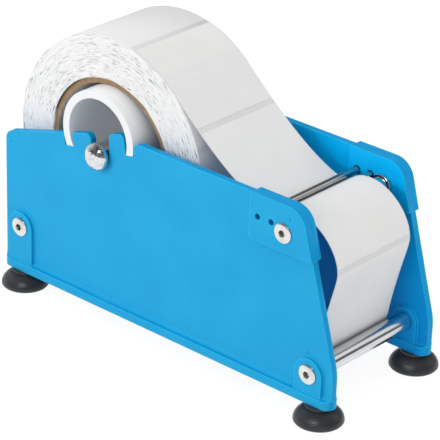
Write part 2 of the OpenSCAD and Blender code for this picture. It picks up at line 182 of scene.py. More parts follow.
floor = flat_floor(FLOOR_HALF)
paper = bpy.data.materials.new("white_floor_paper")
paper.use_nodes = True
tree = paper.node_tree
tree.nodes.clear()
path = add(tree, "LightPath")
seen = maths(tree, "MAXIMUM", path.outputs["Is Camera Ray"],
             maths(tree, "MAXIMUM", path.outputs["Is Glossy Ray"],
                   path.outputs["Is Transmission Ray"]))
matt = add(tree, "BsdfDiffuse", {"Color": rgb(232, 232, 233)})
glow = add(tree, "Emission", {"Color": WHITE, "Strength": FLOOR_GLOW})
both = add(tree, "MixShader", {0: maths(tree, "MULTIPLY", seen, GLOW_SHARE),
                               1: matt.outputs[0], 2: glow.outputs[0]})
add(tree, "OutputMaterial", {"Surface": both.outputs[0]})
floor.data.materials.append(paper)
print("floor", tuple(floor.dimensions))

# %% [markdown]
# The surroundings have three tones. The camera sees white, and matt surfaces get an even light
# grey. Polished metal sees a dim, cloudy room with two bright patches, one high on the far side
# and one low at the rear, because chrome reads as chrome by the dark and bright bands that it
# mirrors. A model of a whole studio could do the same, but three tones from formulas are easier
# to move about.

# %% Make the surroundings
MATT_LEVEL = 0.82
FAR_PATCH, REAR_PATCH = (0.47, 0.71, 0.52), (-0.96, -0.10, 0.25)
world = bpy.data.worlds.new("studio")
bpy.context.scene.world = world
world.use_nodes = True
tree = world.node_tree
tree.nodes.clear()
path = add(tree, "LightPath")
direction = add(tree, "TexCoord").outputs["Generated"]


def bright_patch(towards, first, full, level):
    """How much light comes from near one direction: none where the view makes a wide angle with
    it, and level where the dot product of the two has risen from first to full."""
    near = add(tree, "VectorMath", {0: direction, 1: towards}, operation="DOT_PRODUCT")
    return ramp(tree, near.outputs["Value"], first, full, 0.0, level)


clouds = add(tree, "TexNoise", {"Vector": direction, "Scale": 3.2, "Detail": 2.0}).outputs[0]
dim_room = ramp(tree, clouds, 0.35, 0.65, 0.07, 0.26)
room = maths(tree, "ADD", dim_room, maths(
    tree, "ADD", bright_patch(FAR_PATCH, 0.960, 0.985, 0.95),
    bright_patch(REAR_PATCH, 0.75, 0.95, 0.55)))
matt_light = maths(tree, "MULTIPLY", path.outputs["Is Diffuse Ray"], MATT_LEVEL)
glossy_light = maths(tree, "MULTIPLY", maths(tree, "MAXIMUM", path.outputs["Is Glossy Ray"],
                                             path.outputs["Is Transmission Ray"]), room)
strength = maths(tree, "ADD", path.outputs["Is Camera Ray"],
                 maths(tree, "ADD", matt_light, glossy_light))
sky = add(tree, "Background", {"Color": WHITE, "Strength": strength})
add(tree, "OutputWorld", {"Surface": sky.outputs[0]})
print("surroundings ready")

# %% [markdown]
# Four soft boxes do the rest. The key lamp faces the right-hand panel, a weak one hangs
# overhead, and a third, on the left, keeps the far side from going dark. The fourth lights no
# matt surface at all: it only adds a highlight to polished metal, where a single lamp would have
# to be in the right place both for the panel and for the highlight.


# %% Hang the lamps
def lamp(name, place, target, width, watts, lights=True, mirrored=False):
    """A square soft box of the given width at place, turned to face target.

    lights says whether it lights matt surfaces, and mirrored whether polished metal shows the
    box itself as a highlight.
    """
    light = bpy.data.lights.new(name, "AREA")
    light.size, light.energy = width, watts
    box = bpy.data.objects.new(name, light)
    box.location = place
    box.rotation_euler = (Vector(target) - Vector(place)).to_track_quat("-Z", "Y").to_euler()
    box.visible_diffuse, box.visible_glossy = lights, mirrored
    bpy.context.scene.collection.objects.link(box)


middle = (0.0, 0.0, 0.07)
lamp("key_box", (-0.55, -1.20, 0.62), middle, 0.42, 6.0)
lamp("top_box", (0.05, 0.05, 1.30), middle, 0.80, 0.9)
lamp("back_box", (0.55, 1.15, 0.38), middle, 0.60, 1.9)
lamp("spark_box", (0.33, -1.05, 1.00), middle, 0.42, 6.0, lights=False, mirrored=True)
bpy.context.scene.view_settings.view_transform = "Standard"

# %% [markdown]
# ## Effects that several finishes share
#
# Real surfaces are never quite even. Moulded plastic is a little mottled and its edges are softly
# rounded, bar stock has fine lines along its length, and the thin sides of a flat moulding are
# streaked. The blue panels also use these masks for painted light: a painted highlight along
# rounded edges and painted reflection streaks on thin sides. Each effect is a node group with its
# own inputs, so that each finish can use it at its own scale. A group hands out only masks,
# heights and normals: the shader itself stays in the finish.


# %% Start a node group
def new_group(name, inputs, outputs):
    """A node group with named number inputs {name: start value} and outputs [(name, type)]."""
    group = bpy.data.node_groups.new(name, "ShaderNodeTree")
    for label, start in inputs.items():
        socket = group.interface.new_socket(label, in_out="INPUT", socket_type="NodeSocketFloat")
        socket.default_value = start
    for label, kind in outputs:
        group.interface.new_socket(label, in_out="OUTPUT", socket_type="NodeSocket" + kind)
    return group, group.nodes.new("NodeGroupInput"), group.nodes.new("NodeGroupOutput")


def use_group(tree, group, values=None):
    """Place a node group in a finish, with its own input values."""
    made = tree.nodes.new("ShaderNodeGroup")
    made.node_tree = group
    for name, value in (values or {}).items():
        made.inputs[name].default_value = value
    return made


def here(tree):
    """Object coordinates: every piece sits at the origin, so these are metres on the machine."""
    return add(tree, "TexCoord").outputs["Object"]


def facing_y(tree):
    """The y part of the surface's normal: 1 or -1 where it faces a side of the machine."""
    return add(tree, "SeparateXYZ", {0: add(tree, "NewGeometry").outputs["Normal"]}).outputs[1]


def sideways(tree, low, high):
    """0 where the size of the normal's y part is at low, and 1 where it is at high."""
    return ramp(tree, maths(tree, "ABSOLUTE", facing_y(tree)), low, high)


def drawn_noise(tree, parts, scales, detail):
    """Noise drawn out into streaks: each of three coordinates is multiplied by its own scale,
    and the smallest scale gives the direction in which the streaks are long."""
    place = add(tree, "CombineXYZ", {
        i: maths(tree, "MULTIPLY", part, scale)
        for i, (part, scale) in enumerate(zip(parts, scales))})
    return add(tree, "TexNoise", {"Vector": place.outputs[0], "Scale": 1.0,
                                  "Detail": detail}).outputs[0]


print("helpers for groups ready")

# %% Mottle: soft patches and fine grain
mottle, start, end = new_group("mottle", {"Patch Scale": 30.0, "Grain Scale": 900.0},
                               [("Patches", "Float"), ("Grain", "Float")])
patches = add(mottle, "TexNoise", {"Vector": here(mottle), "Scale": start.outputs["Patch Scale"],
                                   "Detail": 3.0, "Roughness": 0.55})
grain = add(mottle, "TexNoise", {"Vector": here(mottle), "Scale": start.outputs["Grain Scale"],
                                 "Detail": 2.0})
mottle.links.new(ramp(mottle, patches.outputs[0], 0.3, 0.7), end.inputs["Patches"])
mottle.links.new(grain.outputs[0], end.inputs["Grain"])
print("group", mottle.name)

# %% [markdown]
# No moulded or turned edge is sharp. The edges could be rounded in the mesh, but the CAD pieces
# keep their shape, so the shader bends the normal near an edge instead. A mask says how far the
# bent normal leaves the true one, and the blue panels use it to paint a highlight along their
# edges.

# %% Soft edges: a rounded normal and a mask of where it turns
soft_edges, start, end = new_group("soft_edges", {"Radius": 0.8 * MM},
                                   [("Normal", "Vector"), ("Edge", "Float")])
rounded = add(soft_edges, "Bevel", {"Radius": start.outputs["Radius"]}, samples=6)
true_normal = add(soft_edges, "NewGeometry").outputs["Normal"]
turned = add(soft_edges, "VectorMath", {0: rounded.outputs[0], 1: true_normal},
             operation="DOT_PRODUCT")
soft_edges.links.new(rounded.outputs[0], end.inputs["Normal"])
soft_edges.links.new(ramp(soft_edges, turned.outputs["Value"], 0.998, 0.95), end.inputs["Edge"])
print("group", soft_edges.name)

# %% [markdown]
# Bar stock keeps fine lines from the die that it was drawn through. Noise that is drawn out
# along the bar gives them, and with two scales as inputs the same group also serves plated
# screws, the white tube and the cut end of the core.

# %% Drawn lines: streaks along the width of the machine, as on bar stock
drawn_lines, start, end = new_group("drawn_lines", {"Across": 2500.0, "Along": 60.0},
                                    [("Lines", "Float")])
place = add(drawn_lines, "SeparateXYZ", {0: here(drawn_lines)}).outputs
across, along = start.outputs["Across"], start.outputs["Along"]
streaks = drawn_noise(drawn_lines, place, (across, along, across), 3.0)
drawn_lines.links.new(ramp(drawn_lines, streaks, 0.3, 0.7), end.inputs["Lines"])
print("group", drawn_lines.name)

# %% [markdown]
# A flat moulding shows streaks on its thin sides, all round its outline. Their mask gives the
# thin sides a fine relief, and in the blue finish also painted reflection streaks. The group
# finds these sides by the normal, so that no face has to be picked by hand. In the same way it
# tells the inner side of each panel from the outer one: there the normal points to the middle.

# %% Mould lines: streaks that run round the thin sides of a flat moulding
mould_lines, start, end = new_group("mould_lines", {"Across": 1500.0, "Along": 45.0},
                                    [("Lines", "Float"), ("Thin Side", "Float"),
                                     ("Inner Side", "Float")])
place = add(mould_lines, "SeparateXYZ", {0: here(mould_lines)}).outputs
across, along = start.outputs["Across"], start.outputs["Along"]
streaks = drawn_noise(mould_lines, place, (along, across, along), 2.0)
thin_side = sideways(mould_lines, 0.7, 0.4)
lines = maths(mould_lines, "MULTIPLY", thin_side, ramp(mould_lines, streaks, 0.48, 0.72))
to_the_middle = ramp(mould_lines, place[1], -10 * MM, 10 * MM, 1.0, -1.0)
inward = maths(mould_lines, "MULTIPLY", facing_y(mould_lines), to_the_middle)
mould_lines.links.new(lines, end.inputs["Lines"])
mould_lines.links.new(thin_side, end.inputs["Thin Side"])
mould_lines.links.new(ramp(mould_lines, inward, 0.4, 0.7), end.inputs["Inner Side"])
print("group", mould_lines.name)

# %% [markdown]
# ## Finishes
#
# Each finish starts from the colour that the surface has in plain light, and adds the small
# changes that the eye expects: patches, grain, lines, and on the blue panels painted light and
# shade such as painted edge highlights. Numbers that are the same all over a surface go straight
# on the shader's socket.


# %% Start a finish
def new_finish(name, roughness, metallic=0.0, **more):
    """A material with one Principled shader; more fills its other sockets by name."""
    made = bpy.data.materials.new(name)
    made.use_nodes = True
    made.node_tree.nodes.clear()
    values = {"Roughness": roughness, "Metallic": metallic}
    values.update({key.replace("_", " "): value for key, value in more.items()})
    shader = add(made.node_tree, "BsdfPrincipled", values)
    add(made.node_tree, "OutputMaterial", {"Surface": shader.outputs[0]})
    return made, made.node_tree, shader


def bump(tree, shader, height, depth, normal=None):
    """Raise the surface by height times depth, in metres, on top of another normal."""
    values = {"Height": height, "Distance": depth, "Strength": 1.0}
    if normal is not None:
        values["Normal"] = normal
    tree.links.new(add(tree, "Bump", values).outputs[0], shader.inputs["Normal"])


def drive(tree, shader, socket, value):
    """Link a varying value or colour to one of the shader's sockets."""
    tree.links.new(value, shader.inputs[socket])


def drive_roughness(tree, shader, value, low, high):
    """Let the roughness go from low to high as value goes from 0 to 1."""
    drive(tree, shader, "Roughness", ramp(tree, value, 0.0, 1.0, low, high))


print("helpers for finishes ready")

# %% [markdown]
# ### Blue plastic
#
# The two panels are moulded in blue plastic with a satin skin. One flat colour would make them
# look like paper, so the blue drifts a little in soft patches. The thin sides are painted a
# darker blue, as painted shade, and carry lighter streaks that are painted reflections, and the
# edges carry a painted highlight. The inner sides get a purer blue, lighter towards the top,
# which stands for the light that goes to and fro between the two panels.

# %% Blue moulded plastic of the side panels
blue_plastic, tree, shader = new_finish("blue_moulded_plastic", 0.38, Specular_IOR_Level=0.12)
uneven = use_group(tree, mottle, {"Patch Scale": 30.0, "Grain Scale": 1500.0})
edges = use_group(tree, soft_edges, {"Radius": 0.9 * MM})
sides = use_group(tree, mould_lines)
body_colour = blend_colours(tree, uneven.outputs["Patches"], rgb(28, 161, 215), rgb(36, 169, 220))
# Painted shade: the thin sides, the tops and fronts of the panels, are painted a darker blue.
body_colour = blend_colours(tree, sides.outputs["Thin Side"], body_colour, rgb(0, 150, 214))
# Painted light: the inner sides are painted a purer blue that grows lighter towards the top.
height = add(tree, "SeparateXYZ", {0: here(tree)}).outputs[2]
inner_painted_light = blend_colours(tree, ramp(tree, height, 30 * MM, 100 * MM),
                             rgb(0, 160, 240), rgb(0, 185, 255))
body_colour = blend_colours(tree, sides.outputs["Inner Side"], body_colour, inner_painted_light)
# Painted reflection: lighter streaks along the thin sides stand in for what they mirror.
reflection_streaked = blend_colours(tree, maths(tree, "MULTIPLY", sides.outputs["Lines"], 0.7), body_colour,
                         rgb(30, 180, 238))
# Painted highlight: a light blue line along every rounded edge.
edge_highlighted = blend_colours(tree, maths(tree, "MULTIPLY", edges.outputs["Edge"], 0.9), reflection_streaked,
                       rgb(36, 204, 248))
drive(tree, shader, "Base Color", edge_highlighted)
drive_roughness(tree, shader, uneven.outputs["Patches"], 0.34, 0.44)
bump(tree, shader, maths(tree, "ADD", uneven.outputs["Grain"], sides.outputs["Lines"]),
     0.04 * MM, edges.outputs["Normal"])
print("finish", blue_plastic.name)

# %% [markdown]
# ### White plastic
#
# The arch is cut from a white plastic tube. Its wall is smooth and shines a little, and the
# ring where it was cut off is slightly greyer. Two finishes on one piece would need its faces
# sorted first. One finish that reads the normal needs nothing of the kind.

# %% White plastic of the arch
white_plastic, tree, shader = new_finish("white_tube_plastic", 0.32, Specular_IOR_Level=0.5)
uneven = use_group(tree, mottle, {"Patch Scale": 60.0, "Grain Scale": 1200.0})
edges = use_group(tree, soft_edges, {"Radius": 0.4 * MM})
lines = use_group(tree, drawn_lines, {"Across": 40.0, "Along": 700.0})
cut_end = sideways(tree, 0.4, 0.6)
wall = blend_colours(tree, uneven.outputs["Patches"], rgb(244, 246, 247), rgb(250, 251, 252))
drive(tree, shader, "Base Color", blend_colours(tree, cut_end, wall, rgb(235, 236, 236)))
drive_roughness(tree, shader, lines.outputs["Lines"], 0.26, 0.42)
bump(tree, shader, uneven.outputs["Grain"], 0.02 * MM, edges.outputs["Normal"])
print("finish", white_plastic.name)

# %% [markdown]
# ### Steel and chrome
#
# Rods, screws and caps are all bare or plated metal. They differ in tone, in polish and in how
# fine their lines are, so one function with these as its inputs makes all four finishes. Metal
# shows little of its own: it shows what it mirrors, and the surroundings do most of the work.


# %% Steel of the rods, the axle, the screws and the caps
def metal(name, dark, bright, smooth, rough, across, along, radius, depth=0.004 * MM):
    """Polished or plated metal whose colour and polish vary along drawn lines.

    dark and bright are its two tones, smooth and rough its two roughnesses, across and along the
    number of lines a metre in both directions, radius the rounding of its edges, and depth the
    height of the lines. Recesses such as a screw's socket get painted shade: the colour darkens
    where ambient occlusion finds nearby surfaces.
    """
    made, tree, shader = new_finish(name, smooth, 1.0)
    lines = use_group(tree, drawn_lines, {"Across": across, "Along": along})
    edges = use_group(tree, soft_edges, {"Radius": radius})
    open_air = add(tree, "AmbientOcclusion", {"Distance": 2 * MM}, samples=8).outputs["AO"]
    toned = blend_colours(tree, lines.outputs["Lines"], dark, bright)
    # Painted shade: recesses such as a screw's socket turn dark grey.
    painted_recess_shade = ramp(tree, open_air, 0.75, 0.30)
    drive(tree, shader, "Base Color", blend_colours(tree, painted_recess_shade, toned, rgb(64, 65, 66)))
    drive_roughness(tree, shader, lines.outputs["Lines"], smooth, rough)
    bump(tree, shader, lines.outputs["Lines"], depth, edges.outputs["Normal"])
    return made


bright_rod = metal("bright_drawn_steel", rgb(196, 198, 200), rgb(226, 227, 228),
                   0.12, 0.26, 900.0, 25.0, 0.4 * MM)
zinc_screw = metal("zinc_plated_steel", rgb(214, 215, 214), rgb(240, 240, 238),
                   0.20, 0.30, 260.0, 260.0, 0.3 * MM, 0.001 * MM)
chrome_cap = metal("chrome_plated_cap", rgb(206, 208, 210), rgb(232, 233, 234),
                   0.04, 0.12, 420.0, 420.0, 0.3 * MM, 0.0015 * MM)
thin_rod = metal("thin_rod_steel", rgb(158, 158, 156), rgb(206, 206, 203),
                 0.10, 0.22, 1200.0, 20.0, 0.2 * MM)
print("metals:", bright_rod.name, zinc_screw.name, chrome_cap.name, thin_rod.name)

# %% [markdown]
# ### Rubber
#
# The feet are moulded rubber, which is never quite black. A deep black would also hide the shape
# of the dome, so the base is a very dark grey, and a soft sheen does the rest.

# %% Black rubber of the feet
black_rubber, tree, shader = new_finish("black_foot_rubber", 0.45, Specular_IOR_Level=0.45)
uneven = use_group(tree, mottle, {"Patch Scale": 120.0, "Grain Scale": 2600.0})
edges = use_group(tree, soft_edges, {"Radius": 0.4 * MM})
drive(tree, shader, "Base Color", blend_colours(tree, uneven.outputs["Patches"],
                                                rgb(44, 45, 48), rgb(56, 58, 61)))
drive_roughness(tree, shader, uneven.outputs["Patches"], 0.32, 0.42)
bump(tree, shader, uneven.outputs["Grain"], 0.05 * MM, edges.outputs["Normal"])
print("finish", black_rubber.name)

# %% [markdown]
# ### Kraft board
#
# The core is a tube wound from brown board. Its cut end shows fibres and faint lines of the
# layers, and its round faces are greyer. The normal tells the two apart once more.

# %% Kraft board of the core
kraft_board, tree, shader = new_finish("wound_kraft_board", 0.85, Specular_IOR_Level=0.2)
uneven = use_group(tree, mottle, {"Patch Scale": 350.0, "Grain Scale": 3000.0})
lines = use_group(tree, drawn_lines, {"Across": 500.0, "Along": 3500.0})
fibres = blend_colours(tree, uneven.outputs["Patches"], rgb(150, 122, 92), rgb(174, 146, 114))
cut_end = blend_colours(
    tree, maths(tree, "MULTIPLY", lines.outputs["Lines"], 0.35), fibres, rgb(122, 94, 68))
lining = blend_colours(tree, uneven.outputs["Patches"], rgb(182, 185, 190), rgb(194, 196, 200))
drive(tree, shader, "Base Color", blend_colours(tree, sideways(tree, 0.6, 0.4), cut_end, lining))
bump(tree, shader, uneven.outputs["Grain"], 0.08 * MM)
print("finish", kraft_board.name)

# %% [markdown]
# ## Dress the CAD pieces
#
# The rigid pieces keep their CAD shape. Only their material changes, so a table from piece to
# finish is all that this step needs.

# %% Assign the finishes
FINISH_OF = {
    blue_plastic: ["right_side_panel", "left_side_panel"],
    bright_rod: ["rear_tie_rod", "front_lower_tie_rod", "front_upper_tie_rod", "axle_bar"],
    thin_rod: ["guide_rod", "deflector_rod"],
    zinc_screw: ["upper_rod_washers", "rear_rod_screws", "front_lower_rod_screws",
                 "front_upper_rod_screws", "foot_studs"],
    chrome_cap: ["axle_cap_right", "axle_cap_left"],
    white_plastic: ["roll_arch"],
    kraft_board: ["roll_core"],
    black_rubber: ["foot_front_right", "foot_front_left", "foot_rear_right", "foot_rear_left"],
}
for finish, names in FINISH_OF.items():
    for name in names:
        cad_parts[name].data.materials.clear()
        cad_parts[name].data.materials.append(finish)
print("dressed", sum(len(names) for names in FINISH_OF.values()), "CAD pieces")

# %% [markdown]
# ## The roll of labels
#
# A roll is one long web wound on a core. Its side shows the edges of a few hundred turns, which
# never lie quite level, with dark flecks where adhesive has picked up dust. It could be one
# plain ring with a picture of turns on it, but then its edge would be dead straight in the
# light. Here the ring is a closed profile carried round the core, and the profile's side has a
# ridge for every bundle of turns. The outer turn grows outwards by a hair up to the place where
# the web lies on it, as a spiral does.


# %% Turn a grid of points into a mesh
def numbered(points):
    """The vertex numbers of points[row, column, xyz], in the same rows and columns, with the
    first column once more after the last, so that each row closes on itself."""
    rows, columns = points.shape[:2]
    number = np.arange(rows * columns).reshape(rows, columns)
    return np.hstack([number, number[:, :1]])


def quads_of(number):
    """One face for every four neighbours in a grid of vertex numbers."""
    faces = np.stack([number[:-1, :-1], number[1:, :-1], number[1:, 1:], number[:-1, 1:]], -1)
    return faces.reshape(-1, 4)


def mesh_from(name, vertices, quads):
    """A smooth mesh object from arrays of vertices and quads, linked to the scene."""
    mesh = bpy.data.meshes.new(name)
    mesh.vertices.add(len(vertices))
    mesh.vertices.foreach_set("co", np.ascontiguousarray(vertices, np.float32).ravel())
    mesh.loops.add(quads.size)
    mesh.loops.foreach_set("vertex_index", quads.astype(np.int32).ravel())
    mesh.polygons.add(len(quads))
    mesh.polygons.foreach_set("loop_start", np.arange(0, quads.size, 4, dtype=np.int32))
    mesh.polygons.foreach_set("use_smooth", np.full(len(quads), True))
    mesh.update(calc_edges=True)
    mesh.validate()
    piece = bpy.data.objects.new(name, mesh)
    bpy.context.scene.collection.objects.link(piece)
    return piece


def middle_and_radius(node):
    """The centre line (x, z) of a round node that lies along Y, and its outer radius."""
    low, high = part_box(node)
    return np.array([low.x + high.x, low.z + high.z]) / 2, (high.z - low.z) / 2


ROLL_MIDDLE, ROLL_RADIUS = middle_and_radius("label_roll")
CORE_RADIUS = middle_and_radius("roll_core")[1]
ROLL_SIDES = (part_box("label_roll")[0].y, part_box("label_roll")[1].y)
WEB_START = math.radians(75.5)
print("roll middle", np.round(ROLL_MIDDLE, 4), "radius", round(ROLL_RADIUS, 4))


# %% Shape the roll
SWELL, RIM_EDGE, RIPPLE = 0.15 * MM, 0.12 * MM, 0.04 * MM
FINE_WAVE, BROAD_WAVE = 0.43 * MM, 1.31 * MM


def roll_points(turns=56, columns=360):
    """Points of the roll on a grid: a closed profile in radius and y, at each angle.

    A side point at radius r and angle a lies under the flat side by the ripple times the sum
    of (1 - cos) of two phases, r / fine wave + sin 2a and r / broad wave - 1.5 sin a. Times
    the 0.2th power of sin(pi share), with share the part of the way from the core to the rim,
    the ripples die out at both. The outer radius is R + swell (1 - part of the turn since the
    web's start), so that it steps back to R there, and the rim's edges are cut off.
    """
    angle = np.linspace(0.0, 2 * np.pi, columns, endpoint=False)
    since = ((angle - WEB_START) % (2 * np.pi)) / (2 * np.pi)
    outer = ROLL_RADIUS + SWELL * (1.0 - since)
    share = np.linspace(0.0, 1.0, turns)[:, None]
    radius = CORE_RADIUS + (outer[None, :] - CORE_RADIUS) * share
    waves = 2 - np.cos(radius / FINE_WAVE + np.sin(2 * angle)) \
        - np.cos(radius / BROAD_WAVE - 1.5 * np.sin(angle))
    sunk = RIPPLE * waves * np.sin(np.pi * share) ** 0.2
    near = ROLL_SIDES[0] + sunk
    far = ROLL_SIDES[1] - sunk
    rim = np.repeat(radius[-1:], 2, axis=0)
    rim_y = np.array([ROLL_SIDES[0] + RIM_EDGE, ROLL_SIDES[1] - RIM_EDGE])[:, None] + 0 * angle
    radius[-1] -= RIM_EDGE
    profile_r = np.vstack([radius, rim, radius[::-1]])
    profile_y = np.vstack([near, rim_y, far[::-1]])
    return np.stack([ROLL_MIDDLE[0] + profile_r * np.cos(angle), profile_y,
                     ROLL_MIDDLE[1] + profile_r * np.sin(angle)], -1)


points = roll_points()
number = numbered(points)
roll = mesh_from("wound_label_roll", points.reshape(-1, 3),
                 quads_of(np.vstack([number, number[:1]])))
print("roll faces", len(roll.data.polygons))

# %% [markdown]
# The paper's finish reads its place on the roll in polar form: the angle tells where one label
# ends and the next begins, and the radius tells which turn a point of the side belongs to.
# The gaps between labels show the backing paper, which is a little greyer and glossier. A whole
# number of labels doesn't fit one turn, so the angle starts anew at a seam below the web, where
# nobody sees that two gaps lie further apart.

# %% Polar coordinates round the roll
SEAM_ANGLE, FULL_TURN = 40.0, 360.0
roll_polar, start, end = new_group("roll_polar", {}, [("Radius", "Float"), ("Angle", "Float"),
                                                     ("Side", "Float")])
centred = add(roll_polar, "Mapping", {
    "Vector": here(roll_polar),
    "Location": (-ROLL_MIDDLE[0], 0.0, -ROLL_MIDDLE[1])}).outputs[0]
place = add(roll_polar, "SeparateXYZ", {0: centred}).outputs
off_axis = add(roll_polar, "CombineXYZ", {0: place[0], 1: place[2]}).outputs[0]
radius = add(roll_polar, "VectorMath", {0: off_axis}, operation="LENGTH").outputs["Value"]
turn = maths(roll_polar, "DEGREES", maths(roll_polar, "ARCTAN2", place[2], place[0]))
from_seam = maths(roll_polar, "MODULO", maths(
    roll_polar, "ADD", turn, FULL_TURN - SEAM_ANGLE), FULL_TURN)
roll_polar.links.new(radius, end.inputs["Radius"])
roll_polar.links.new(maths(roll_polar, "ADD", from_seam, SEAM_ANGLE), end.inputs["Angle"])
roll_polar.links.new(sideways(roll_polar, 0.45, 0.6), end.inputs["Side"])
print("group", roll_polar.name)

# %% [markdown]
# The sides of the roll are nearly white, with short grey and dark strokes that follow the turns
# and crowd together in places, and a painted shadow in patches by the core. Strokes could be
# drawn one by one, but noise that is drawn out along the turns gives any number of them, each
# different.

# %% Paper of the roll
GAP_ANGLE, PITCH_ANGLE, GAP_HALF, GAP_SOFT = 76.8, 50.4, 1.35, 0.45
LABEL_WHITE, BACKING_GREY = rgb(234, 234, 234), rgb(222, 222, 224)
roll_paper, tree, shader = new_finish("wound_label_paper", 0.5, Specular_IOR_Level=0.35)
polar = use_group(tree, roll_polar)


def gap_mask(tree, angle, middle, half, soft):
    """1 in the gaps between labels, 0 on labels: the distance of the angle from the nearest
    gap, which repeats every pitch, is compared with half a gap's width. Twenty pitches and a
    half are added first, so that a gap lies halfway through a step and no step is negative."""
    step = maths(tree, "ADD", angle, 20.5 * PITCH_ANGLE - middle)
    away = maths(tree, "ABSOLUTE", maths(
        tree, "SUBTRACT", maths(tree, "MODULO", step, PITCH_ANGLE), PITCH_ANGLE / 2))
    return ramp(tree, away, half + soft, half - soft)


gaps = gap_mask(tree, polar.outputs["Angle"], GAP_ANGLE, GAP_HALF, GAP_SOFT)


def strokes(tree, along, across):
    """Noise drawn out along the turns: along patches a radian, across patches a metre of
    radius. The angle enters as its cosine and sine, so that the pattern has no seam."""
    angle = maths(tree, "RADIANS", polar.outputs["Angle"])
    parts = (maths(tree, "COSINE", angle), maths(tree, "SINE", angle), polar.outputs["Radius"])
    return drawn_noise(tree, parts, (along, along, across), 1.0)


crowd = add(tree, "TexNoise", {"Vector": here(tree), "Scale": 38.0, "Detail": 1.0}).outputs[0]
dense = maths(tree, "MULTIPLY", crowd, 0.25)
grey_strokes = ramp(tree, maths(tree, "ADD", strokes(tree, 8.0, 2500.0), dense), 0.66, 0.80)
dark_strokes = ramp(tree, maths(tree, "ADD", strokes(tree, 11.0, 2000.0), dense), 0.79, 0.87)
side_colour = blend_colours(tree, maths(tree, "MULTIPLY", grey_strokes, 0.6),
                            rgb(237, 237, 236), rgb(170, 170, 171))
side_colour = blend_colours(tree, dark_strokes, side_colour, rgb(92, 92, 94))
# Painted shadow: a dark thin ring just outside the core, in patches.
by_core = ramp(tree, polar.outputs["Radius"], CORE_RADIUS + 0.7 * MM, CORE_RADIUS + 0.2 * MM)
painted_core_shadow = maths(tree, "MULTIPLY", by_core, ramp(tree, crowd, 0.42, 0.58))
side_colour = blend_colours(tree, painted_core_shadow, side_colour, rgb(70, 66, 62))
top = blend_colours(tree, gaps, LABEL_WHITE, BACKING_GREY)
drive(tree, shader, "Base Color", blend_colours(tree, polar.outputs["Side"], top, side_colour))
drive(tree, shader, "Roughness", ramp(tree, maths(tree, "SUBTRACT", polar.outputs["Side"], gaps),
                                      -1.0, 1.0, 0.36, 0.9))
bump(tree, shader, maths(tree, "MULTIPLY", maths(tree, "SUBTRACT", 1.0, gaps),
                         maths(tree, "SUBTRACT", 1.0, polar.outputs["Side"])), 0.05 * MM)
roll.data.materials.append(roll_paper)
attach(roll, "roll")
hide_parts("label_roll")
print("finish", roll_paper.name)

# %% [markdown]
# ## The threaded web
#
# The backing web leaves the roll, dives under the guide rod, comes up over the deflector rod
# and the upper tie rod, hangs out in a free loop and goes down behind the lower tie rod. Paper
# keeps its length and bends in one direction only, so the web is a line in the X-Z plane,
# carried across the width. The line is built from arcs round the rods and smooth curves
# between them, and each rod's place is read from the CAD model. A cloth simulation could find
# the loop too, but paper this stiff is easier to steer with a few lengths.

# %% Lay out the middle line of the web
LEAVE, LIFT_OFF = math.radians(47.0), math.radians(115.0)
WEB_OFF, UNDER_OFF = 0.3 * MM, 0.25 * MM


def arc(centre, radius, first, last, count):
    """Points on a circle: centre + radius (cos t, sin t), for t from first to last."""
    t = np.linspace(first, last, count)
    return centre + radius * np.stack([np.cos(t), np.sin(t)], -1)


def bezier(a, b, c, d, count):
    """A cubic curve from a to d that sets out towards b and arrives from c."""
    t = np.linspace(0.0, 1.0, count)[1:, None]
    s = 1.0 - t
    return s**3 * a + 3 * s**2 * t * b + 3 * s * t**2 * c + t**3 * d


def web_line():
    """The middle line of the web, from the roll to behind the lower tie rod.

    It starts with an arc on the roll and leaves it along the tangent. A cubic curve takes it
    to just below the guide rod, and one arc bends it round that rod and another over the
    deflector rod; the straight line between the two arcs touches both. Three more cubic curves
    lead over the crown above the upper tie rod, out to the bulge of the free loop, and in to
    the tail behind the lower tie rod. The last point is the cut end.
    """
    guide, thin = middle_and_radius("guide_rod")
    deflector = middle_and_radius("deflector_rod")[0]
    upper, tie = middle_and_radius("front_upper_tie_rod")
    lower = middle_and_radius("front_lower_tie_rod")[0]
    off = np.array([[math.cos(LEAVE), math.sin(LEAVE)], [math.sin(LEAVE), -math.cos(LEAVE)]])
    leave = ROLL_MIDDLE + (ROLL_RADIUS + WEB_OFF) * off[0]
    round_thin = thin + WEB_OFF
    under_r = round_thin + UNDER_OFF
    under = guide + [-2 * MM, -under_r]
    climb = math.asin((under_r + round_thin) / np.linalg.norm(deflector - guide))
    lift = deflector + round_thin * np.array([math.cos(LIFT_OFF), math.sin(LIFT_OFF)])
    crown = upper + np.array([-0.5 * MM, tie + 1.85 * MM])
    bulge = np.array([lower[0] + 6.55 * MM, upper[1] - 18.1 * MM])
    tail = lower + np.array([MM - tie, 6.3 * MM])
    end = lower + np.array([-3.8 * MM - tie, -9.2 * MM])
    quarter = math.pi / 2
    return np.vstack([
        arc(ROLL_MIDDLE, ROLL_RADIUS + WEB_OFF, WEB_START, LEAVE, 24),
        bezier(leave, leave + 22 * MM * off[1], under + np.array([-22, 6]) * MM, under, 60),
        arc(guide, under_r, -quarter, climb - quarter, 10),
        arc(deflector, round_thin, climb + quarter, LIFT_OFF, 10),
        bezier(lift, lift + np.array([2.7, 1.26]) * MM, crown - [3 * MM, 0], crown, 20),
        bezier(crown, crown + [13 * MM, 0], bulge + [0, 12.6 * MM], bulge, 50),
        bezier(bulge, bulge - [0, 4.5 * MM], tail + np.array([4.4, 25]) * MM, tail, 36),
        end[None, :]])


